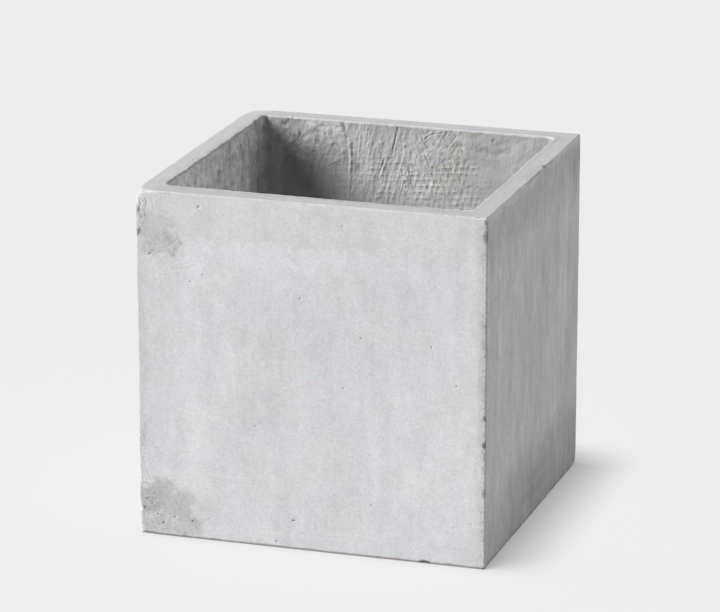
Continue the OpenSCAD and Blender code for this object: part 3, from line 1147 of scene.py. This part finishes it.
def feature(u, v, wall):
    # the named grooves, lumps and pits of one wall
    height = np.zeros(len(u))
    flat = onPlane(u, v)
    for route, width, depth, ridge in wall["grooves"]:
        gap = fromRoute(flat, route)
        close = gap < width * 4
        spot = np.column_stack([flat[close], 0 * gap[close]])
        shaken = np.abs(gap[close] + 0.5 * width * clouds(spot, 2.2, 32))
        share = alongRoute(flat[close], route)
        taper = np.sqrt(np.clip(4 * (1 - share), 0, 1)) * np.clip(0.35 + 5 * share, 0, 1)
        uneven = 1 + 0.7 * clouds(spot, 3, 31)
        cut = -depth * bell(shaken, width * 0.8) + ridge * bell(shaken - width * 1.6, width * 0.6)
        height[close] += 0.75 * cut * uneven * taper
    for across, up, radius, lump in wall["spots"]:
        gap = np.linalg.norm(flat - (across, up), axis=1)
        close = gap < radius * 3
        ragged = 1 + 0.5 * clouds(np.column_stack([flat[close], 0 * gap[close]]), radius, 33)
        height[close] += lump * bell(gap[close] * ragged, radius)
    return height


def clothImprint(u, v):
    # a square net pressed into the mortar, deepest where it was pressed hardest
    net = backWall["imprint"]
    mask = within(u, v, net["low"], net["high"], 9)
    rise = math.tan(math.radians(net["rise"]))
    flat = np.column_stack([u, v, 0 * u])
    wander = 1.6 * clouds(flat, 22, 41) + 0.5 * clouds(flat, 6, 44)
    across = (u - 3 * rise * (v - 245) + wander) / net["pitch"]
    up = (v - rise * u + wander) / net["pitch"]
    upright = bell((across - np.round(across)) * net["pitch"], 0.7)
    level = bell((up - np.round(up)) * net["pitch"], 0.75)
    pressed = np.clip(0.6 + 1.0 * clouds(flat, 15, 42), 0, 1)
    dashed = np.clip(0.65 + 1.1 * clouds(flat, (4, 3, 1), 43), 0, 1.2)
    strength = fade(u, -70, 8) * 0.7 + 0.3
    return net["depth"] * mask * pressed * strength * (level * 1.4 * dashed + upright * 0.8 - 0.3)


def combed(u, v, lean, length, width, seed):
    # sharp-edged bristle marks: the creases of a stretched noise
    return 0.5 - 2.2 * np.abs(strokes(u, v, lean, length, width, seed))


def brushedBack(u, v):
    fan = within(u, v, (-50, 232), (2, 299), 9)
    slanted = within(u, v, (-2, 234), (50, 284), 8)
    calm = within(u, v, (48, 250), (130, 299), 14)
    lumpy = within(u, v, (-130, 266), (-60, 299), 10)
    flat = np.column_stack([u, v, 0 * u])
    height = fan * (0.30 * combed(u, v, 10, 34, 5.0, 51) + 0.24 * combed(u, v, 15, 17, 2.6, 52))
    height += fan * (0.16 * strokes(u, v, 6, 9, 1.5, 50) + 0.26 * clouds(flat, 2.0, 42))
    height += slanted * (0.36 * combed(u, v, -24, 18, 4.0, 53) + 0.26 * combed(u, v, -16, 9, 2.4, 54))
    crossed = within(u, v, (14, 272), (44, 297), 6)
    height += crossed * (0.34 * combed(u, v, 38, 11, 2.8, 44) + 0.30 * combed(u, v, -34, 10, 2.6, 43))
    lumps = 0.26 * clouds(flat, 3.2, 48) + 0.12 * clouds(flat, 1.6, 49)
    height += slanted * (lumps + 0.1 * combed(u, v, 12, 12, 3, 49))
    height += lumpy * (0.6 * clouds(flat, 9, 55) + 0.5 * clouds(flat, 4, 56) + 0.26 * clouds(flat, 2, 47))
    height += calm * (0.3 * clouds(flat, (22, 13, 1), 57) + 0.12 * combed(u, v, 62, 20, 4, 58))
    height += calm * 0.10 * clouds(flat, 3.5, 46)
    rest = np.clip(1 - fan - slanted - calm - lumpy, 0, 1)
    swept = 0.22 * combed(u, v, 6, 26, 4, 59) + 0.2 * clouds(flat, 6, 60)
    height += rest * (swept + 0.1 * clouds(flat, 2.4, 45))
    return height + feature(u, v, backWall) + clothImprint(u, v)


def brushedLeft(u, v):
    flat = np.column_stack([u, v, 0 * u])
    height = 0.5 * combed(u, v, 3, 45, 7, 61) + 0.5 * combed(u, v, -5, 20, 3.2, 62)
    height += 1.0 * clouds(flat, 11, 63) + 0.75 * clouds(flat, 4, 64) + 0.4 * clouds(flat, 2, 65)
    return height + feature(u, v, leftWall)


def brushedPlain(u, v, seed):
    flat = np.column_stack([u, v, 0 * u])
    height = 0.45 * strokes(u, v, 8 if seed % 2 else -10, 38, 4, seed) + 0.35 * clouds(flat, 15, seed + 1)
    return height + 0.18 * strokes(u, v, 20, 12, 2.5, seed + 2)


def insideRelief(points, inward):
    # millimetres towards the planting space
    x, y, z = points.T
    height = 0.45 * clouds(points, 45, 70)
    share = np.clip(inward, -1, 1) ** 2 * np.sign(inward)
    swell = cavity["swell"] * (1 - fade(x, -130, 100)) * fade(z, 190, 270)
    for axis, sign, brushed in (
        (1, -1, lambda: brushedBack(x, z)),
        (0, 1, lambda: brushedLeft(y, z)),
        (0, -1, lambda: brushedPlain(y, z, 81)),
        (1, 1, lambda: brushedPlain(-x, z, 86) + swell),
        (2, 1, lambda: brushedPlain(x, y, 91) + 0.5 * clouds(points, 9, 95)),
    ):
        weight = np.clip(share[:, axis] * sign, 0, 1)
        used = weight > 0.01
        if used.any():
            height = height + weight * brushed()
    # flat where the stopper's flange sits, and never deeper than the cloth behind
    away = np.linalg.norm(points[:, :2], axis=1)
    seat = fade(away, sizes["drain"] + 10, sizes["drain"] + 26)
    height = np.where(z < sizes["floor"] + 3, height * seat, height)
    return np.clip(height, cavity["deepest"], cavity["proudest"])


def insidePlace(points):
    placed, inward = cavityPlace(points)
    relief = insideRelief(placed, inward)
    return placed + inward * relief[:, None], relief


# the brushed coat that lines the inside

innerSettings = {
    "step": 3.2,
    "coarseStep": 5.0,  # below the part of the walls that shows
    "fineStep": 0.8,
    "backFrom": 222.0,  # the back wall's mesh is fine from this height up
    "leftFrom": 236.0,
}


def innerRings():
    half, lining = sizes["cavityHalf"], sizes["liningHalf"]
    top, floor, under = sizes["coatsTop"], sizes["floor"], sizes["liningFloor"]
    unit = unitRing(half, innerSettings["step"])
    fine, foot = innerSettings["backFrom"], floor + cornerMarks[-1]
    brushed = stepsTo(top, fine, innerSettings["step"])
    plain = stepsTo(fine, foot, innerSettings["coarseStep"])[:-1]
    down = np.concatenate([[top], brushed, plain, (floor + np.array(cornerMarks))[::-1]])
    rings = [squareRing(unit, half, z) for z in down]
    hole = roundRing(unit, sizes["drain"] + 0.6, floor)
    marks = np.array(cornerMarks) / half[1]
    shares = np.concatenate([[0], marks, np.linspace(marks[-1], 1, 34)[1:]])
    rings += between(squareRing(unit, half, floor), hole, shares)
    rings += [roundRing(unit, sizes["drain"], z) for z in (floor - 0.5, floor - 2, under)]
    rings += between(rings[-1], squareRing(unit, lining, under), (0.35, 0.7, 1))
    rings += [squareRing(unit, lining, z) for z in (60, 140, 220, top)]
    return rings


def makeInnerCoat():
    bm = loftMesh(innerRings())
    half, floor = sizes["cavityHalf"], sizes["floor"]

    def wanted(points):
        atBack = (np.abs(points[:, 1] - half[1]) < 0.1) & (points[:, 2] > innerSettings["backFrom"])
        atLeft = (np.abs(points[:, 0] + half[0]) < 0.1) & (points[:, 2] > innerSettings["leftFrom"])
        return np.where(atBack | atLeft, innerSettings["fineStep"], 99.0)

    refine(bm, wanted, 2)
    points = places(bm)
    onWall = (np.abs(np.abs(points[:, :2]) - half) < 0.01).any(axis=1) & (points[:, 2] > floor - 0.01)
    away = np.linalg.norm(points[:, :2], axis=1)
    onFloor = (np.abs(points[:, 2] - floor) < 0.01) & (away > sizes["drain"] + 0.3)
    seen = (onWall | onFloor) & (np.abs(points[:, :2]) < half + 0.01).all(axis=1)
    relief = np.zeros(len(points))
    points[seen], relief[seen] = insidePlace(points[seen])
    setPlaces(bm, points)
    return finishCoat(bm, "innerCoat", brushedFace, ["inner_coat"], relief)


sunLight("inside", makeInnerCoat(), "INCLUDE")  # light that only comes in over the rim


# the skim struck off along the rim

rimSettings = {
    "step": 2.0,
    # how far the inner arris is set back, and its height over the coats
    "innerArris": [(0.0, 0.5), (0.06, 1.0), (0.25, 1.45), (0.6, 1.8), (1.1, 2.0)],
    "drag": 0.16,  # depth of the float's drag marks
    "seams": [  # where the joint with the coat below shows: face, from, to, height over the coats, depth
        ("front", -129, -119, 0.1, 0.4), ("front", 66, 70, 1.5, 0.3), ("front", 86, 90, 1.5, 0.3),
        ("front", 107, 124, 1.2, 0.45), ("right", -30, 66, 0.5, 0.6), ("left", -60, 10, 0.6, 0.4),
        ("back", 20, 90, 0.7, 0.4),
    ],
    "pits": [  # across, along, radius, depth
        (127, -124, 1.3, 0.9), (130.5, -123, 1.1, 0.8), (142.5, -144.2, 1.6, 1.0), (113, -124, 2.0, 0.9),
        (-116, 128, 0.9, 0.6), (-106, 129, 0.8, 0.6), (88, 129.5, 0.9, 0.7), (100, 131, 0.8, 0.5),
        (-127, 131, 1.0, 0.6), (116, 134, 0.9, 0.5), (-138, -40, 0.6, 0.4), (141, 78, 0.6, 0.4),
    ],
}


def rimRings():
    unit = unitRing(sizes["half"], rimSettings["step"])
    base = sizes["coatsTop"]
    half = sizes["cavityHalf"]
    climb = (0, 0.25, 0.5, 0.75, 1.0, 1.25, 1.5, 1.75, 2.0)
    outer = [squareRing(unit, sizes["half"], base + z) for z in climb]
    insets = [squareRing(unit, sizes["half"] - inset, rimTop) for inset in (0.35, 0.8, 1.3, 2.0, 3.0)]
    insideSquare = squareRing(unit, half, base)
    edge, _ = insidePlace(insideSquare)
    _, inward = cavityPlace(insideSquare)
    inward[:, 2] = 0
    rugged = 0.45 * clouds(edge, 5, 104) + 0.35 * clouds(edge, 2.4, 105)
    worn = edge + inward * np.clip(rugged, -0.5, 0.7)[:, None]
    inside = [worn - inward * back + np.array([0, 0, z]) for back, z in rimSettings["innerArris"]]
    across = between(insets[-1], inside[-1], np.linspace(0, 1, 12)[1:-1])
    hidden = [edge + np.array([0, 0, 0.2]), edge, edge - inward * 6]
    return outer + insets + across + inside[::-1] + hidden


def makeRimSkim():
    bm = loftMesh(rimRings())
    base = sizes["coatsTop"]

    def wanted(points):
        size = np.full(len(points), 99.0)
        for x, y, radius, depth in rimSettings["pits"]:
            gap = np.linalg.norm(points[:, :2] - (x, y), axis=1)
            size = np.minimum(size, sizeNear(gap, 0.5, 0.5, radius * 1.4))
        for place, broken, depth, reach in chips:
            gap = np.linalg.norm(points - place, axis=1)
            size = np.minimum(size, sizeNear(gap, 0.7, 0.5, reach))
        return np.where(points[:, 2] > base + 0.2, size, 99.0)

    refine(bm, wanted, 3)
    points = wearOutside(places(bm))
    top = fade(points[:, 2], base + 1.6, rimTop)
    drag = rimSettings["drag"] * (0.5 + 0.5 * clouds(points, 16, 101))
    drag += 0.05 * clouds(points, 3, 102, 2)
    relief = -np.clip(drag, 0, None) * top
    for across, along, radius, depth in rimSettings["pits"]:
        gap = np.linalg.norm(points[:, :2] - (across, along), axis=1)
        relief -= depth * (1 - fade(gap, radius * 0.3, radius * 1.2)) * top
    points[:, 2] += relief
    # the open joint under the skim: its lower edge stands back
    for face, start, end, height, depth in rimSettings["seams"]:
        axis, sign = {"front": (1, -1), "back": (1, 1), "left": (0, -1), "right": (0, 1)}[face]
        run = points[:, 1 - axis]
        close = fade(run, start - 3, start + 1) * (1 - fade(run, end - 1, end + 3))
        close *= fade(points[:, axis] * sign, sizes["half"][axis] - 3, sizes["half"][axis] - 1.5)
        broken = np.clip(0.9 + 0.7 * clouds(points, 9, 103), 0.3, 1.2)
        notch = bell(points[:, 2] - base - height, 0.3) * close * depth * broken
        points[:, axis] -= sign * notch
        relief -= notch
    setPlaces(bm, points)
    return finishCoat(bm, "rimSkim", rimFace, ["rim_skim"], relief)


makeRimSkim()


# the glass cloth between the coats

cloth = {
    "pitch": 5.0,
    "yarnWidth": 1.9,
    "yarnDepth": 0.34,
    "crimp": 0.21,  # how far a yarn swings over and under the others
    "legs": 45.0,  # how far a folded strip reaches from its corner
    "gap": 3.0,  # between the end of a foot strip and the corner strip beside it
    "ply": 0.8,
    "drainGap": 6.5,  # mortar between the drain hole and the base cloth
    "cornerBend": 8.8,
    "footBend": 2.0,
}


def yarnsAlong(run, span):
    # centre lines of the yarns that run one way: places along them, place across, swing
    pitch = cloth["pitch"]
    crossings = int(run // pitch)
    first = -(crossings - 1) * pitch / 2
    middle = first + np.arange(-1, 2 * crossings) * pitch / 2
    along = np.concatenate([[-run / 2], middle, [run / 2]])
    count = int(span // pitch)
    for k in range(count):
        swing = cloth["crimp"] * np.cos(math.pi * (along - first) / pitch) * (-1) ** k
        yield along, (k - (count - 1) / 2) * pitch, swing


def weave(width, height, shape, keep=None):
    # every yarn is a flat closed tube; shape says where a spot of the flat cloth lies in space
    points, faces = [], []
    for across in (True, False):
        run, span = (width, height) if across else (height, width)
        sign = 1 if across else -1
        for along, offset, swing in yarnsAlong(run, span):
            corners = [(cloth["yarnWidth"] / 2, 0), (0, cloth["yarnDepth"] / 2)]
            corners += [(-side, -lift) for side, lift in corners]
            ring = [(along, offset + side + 0 * along, sign * swing + lift) for side, lift in corners]
            ring = np.array([spots if across else (spots[1], spots[0], spots[2]) for spots in ring])
            shown = np.ones(len(along), bool)
            if keep is not None:
                shown = keep(ring[0, 0], ring[0, 1])
            runs = np.split(np.arange(len(along)), np.flatnonzero(np.diff(shown.astype(int))) + 1)
            for part in runs:
                if len(part) < 2 or not shown[part[0]]:
                    continue
                base, size = len(points), len(part)
                spots = ring[:, :, part].transpose(2, 0, 1).reshape(-1, 3)
                points.extend(shape(spots[:, 0], spots[:, 1], spots[:, 2]).tolist())
                for i in range(size - 1):
                    for j in range(4):
                        near, far = base + 4 * i, base + 4 * i + 4
                        turn = (j + 1) % 4
                        faces.append((near + j, near + turn, far + turn, far + j))
                last = base + 4 * (size - 1)
                faces.append((base + 3, base + 2, base + 1, base))
                faces.append((last, last + 1, last + 2, last + 3))
    return points, faces


def clothPiece(name, node, size, shape, keep=None):
    points, faces = weave(*size, shape, keep)
    bm = bmesh.new()
    verts = [bm.verts.new(np.array(point) * mm) for point in points]
    for face in faces:
        bm.faces.new([verts[i] for i in face])
    bmesh.ops.recalc_face_normals(bm, faces=bm.faces)
    piece = finishPiece(meshFrom(bm, name), name, "planter", yarn, [node])


def panelShape(low, high):
    middle = (low + high) / 2
    thin = int(np.argmin(high - low))
    wide, tall = [axis for axis in range(3) if axis != thin]

    def shape(u, v, w):
        points = np.tile(middle, (len(u), 1))
        points[:, wide] += u
        points[:, tall] += v
        points[:, thin] += w
        return points

    return (high[wide] - low[wide], high[tall] - low[tall]), shape


def makePanels():
    for side in ("front", "back", "left", "right"):
        size, shape = panelShape(*nodeBox(side + "_cloth"))
        clothPiece(side + "Cloth", side + "_cloth", size, shape)
    size, shape = panelShape(*nodeBox("base_cloth"))
    opening = sizes["drain"] + cloth["drainGap"]

    def keep(u, v):
        return np.hypot(u, v) > opening

    clothPiece("baseCloth", "base_cloth", size, shape, keep)


def foldLength(bend):
    straight = cloth["legs"] - 1.5 * cloth["ply"] - bend
    return straight, bend * math.pi / 2


def folded(s, w, bend):
    # a strip folded into a square corner: in along one leg, round the bend and out along the other
    straight, arc = foldLength(bend)
    s = s + straight + arc / 2
    turn = np.clip((s - straight) / bend, 0, math.pi / 2)
    middle = 1.5 * cloth["ply"] + bend
    first = middle - (bend - w) * np.sin(turn) + np.clip(straight - s, 0, None)
    second = middle - (bend - w) * np.cos(turn) + np.clip(s - straight - arc, 0, None)
    return first, second


def makeCornerStrips():
    low, high = nodeBox("corner_strips")
    straight, arc = foldLength(cloth["cornerBend"])
    size = (2 * straight + arc, high[2] - low[2])
    middle = (low[2] + high[2]) / 2
    corners = (("FrontLeft", -1, -1), ("FrontRight", 1, -1), ("BackRight", 1, 1), ("BackLeft", -1, 1))
    for name, x, y in corners:

        def shape(u, v, w, x=x, y=y):
            first, second = folded(u, w, cloth["cornerBend"])
            half = sizes["liningHalf"]
            return np.column_stack([x * (half[0] - first), y * (half[1] - second), middle + v])

        clothPiece("cornerStrip" + name, "corner_strips", size, shape)


def makeFootStrips():
    straight, arc = foldLength(cloth["footBend"])
    half = sizes["liningHalf"]
    for name, axis, sign in (("Front", 1, -1), ("Back", 1, 1), ("Left", 0, -1), ("Right", 0, 1)):
        length = 2 * (half[1 - axis] - cloth["legs"] - cloth["gap"])

        def shape(u, v, w, axis=axis, sign=sign):
            first, second = folded(u, w, cloth["footBend"])
            points = np.empty((len(u), 3))
            points[:, axis] = sign * (half[axis] - first)
            points[:, 1 - axis] = v
            points[:, 2] = sizes["liningFloor"] + second
            return points

        clothPiece("footStrip" + name, "foot_strips", (2 * straight + arc, length), shape)


makePanels()
makeCornerStrips()
makeFootStrips()


# the rubber stopper

stopper = {
    "around": 144,
    "fit": 0.08,  # between the stem and the hole
    "flange": 4.0,
    "beads": 3,  # sealing beads on the stem
    "beadDepth": 0.4,
    "grips": 24,  # finger ribs around the knob
    "gripDepth": 0.45,
}


def arcPoints(middle, radius, start, end, count):
    turns = np.radians(np.linspace(start, end, count))
    return [(middle[0] + radius * math.cos(turn), middle[1] + radius * math.sin(turn)) for turn in turns]


def stopperOutline():
    # radius and height, from the middle of the underside round to the middle of the top
    low, high = nodeBox("drain_plug")
    wide, bottom, top = high[0], low[2], high[2]
    stem = sizes["drain"] - stopper["fit"]
    seat, thick = sizes["floor"], stopper["flange"]
    outline = [(0.001, bottom + 1.6), (3, bottom + 1.6)]
    outline += arcPoints((6.2, bottom + 0.9), 0.6, 90, 0, 4)
    outline += arcPoints((7.6, bottom + 0.6), 0.6, 180, 270, 4)
    outline += arcPoints((stem - 1.6, bottom + 1.2), 1.2, 270, 360, 6)
    for height in np.linspace(bottom + 1.6, seat - 1.0, 34):
        share = (height - bottom - 1.6) / (seat - bottom - 2.6)
        bead = 0.5 + 0.5 * math.cos(2 * math.pi * stopper["beads"] * share)
        outline.append((stem - stopper["beadDepth"] * bead**2, height))
    outline += arcPoints((stem + 0.7, seat - 0.9), 0.9, 150, 90, 4)
    outline += [(stem + 2.5, seat), (wide - 2.5, seat)]
    outline += arcPoints((wide - 1.5, seat + 1.5), 1.5, -80, 0, 6)
    outline += arcPoints((wide - 1.5, seat + thick - 1.5), 1.5, 0, 100, 7)
    outline += [(wide - 3.2, seat + thick - 0.45), (wide - 6, seat + thick - 0.6)]
    outline += arcPoints((8.6, seat + thick + 2.0), 2.6, 270, 180, 8)
    outline += [(6.0, seat + thick + 3.2), (6.0, top - 6.6)]
    outline += arcPoints((7.2, top - 6.2), 1.2, 180, 100, 5)
    outline += arcPoints((8.4, top - 3.4), 1.6, -85, 0, 6)
    outline += arcPoints((8.0, top - 2.0), 2.0, 0, 88, 7)
    outline += [(5.5, top - 0.12), (3.2, top - 0.5), (1.2, top - 0.68), (0.001, top - 0.7)]
    return np.array(outline)


def makeStopper():
    outline = stopperOutline()
    knobFoot = nodeBox("drain_plug")[1][2] - 5
    turns = np.linspace(0, 2 * math.pi, stopper["around"], endpoint=False)
    bm = bmesh.new()
    rows = []
    for radius, height in outline:
        grip = fade(height, knobFoot - 0.2, knobFoot + 1.4) * fade(radius, 7.5, 9.3)
        ribs = stopper["gripDepth"] * grip * (0.5 + 0.5 * np.cos(stopper["grips"] * turns)) ** 2
        around = radius - ribs
        ring = [(r * math.cos(t) * mm, r * math.sin(t) * mm, height * mm) for r, t in zip(around, turns)]
        rows.append([bm.verts.new(place) for place in ring])
    joinRows(bm, rows, rows[1:])
    bmesh.ops.remove_doubles(bm, verts=rows[0] + rows[-1], dist=0.01 * mm)
    bmesh.ops.recalc_face_normals(bm, faces=bm.faces)
    finishPiece(meshFrom(bm, "rubberStopper"), "rubberStopper", "stopper", rubber, ["drain_plug"])


makeStopper()
